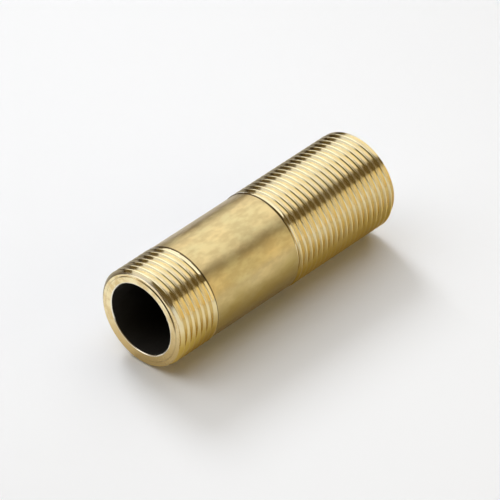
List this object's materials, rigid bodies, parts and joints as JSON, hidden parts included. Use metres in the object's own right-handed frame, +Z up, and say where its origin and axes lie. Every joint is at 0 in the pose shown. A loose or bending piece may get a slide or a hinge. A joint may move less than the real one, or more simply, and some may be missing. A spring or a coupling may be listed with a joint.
{
  "type": "barrel nipple",
  "caption": "Straight brass pipe nipple: a plain barrel between a short and a long male pipe thread, open right through, for joining female-threaded fittings in line.",
  "frame": {"origin": "on the tube's axis, halfway between the end faces", "axes": "+X along the tube to the long-threaded end, +Z up with the tube lying on its side, +Y across it"},
  "size_m": [0.0984, 0.0332, 0.0332],
  "materials": {
    "brass": "bright cut threads and end faces, duller drawn barrel, dark oxidised bore"
  },
  "bodies": {
    "root": {"nipple": "brass"}
  },
  "joints": []
}
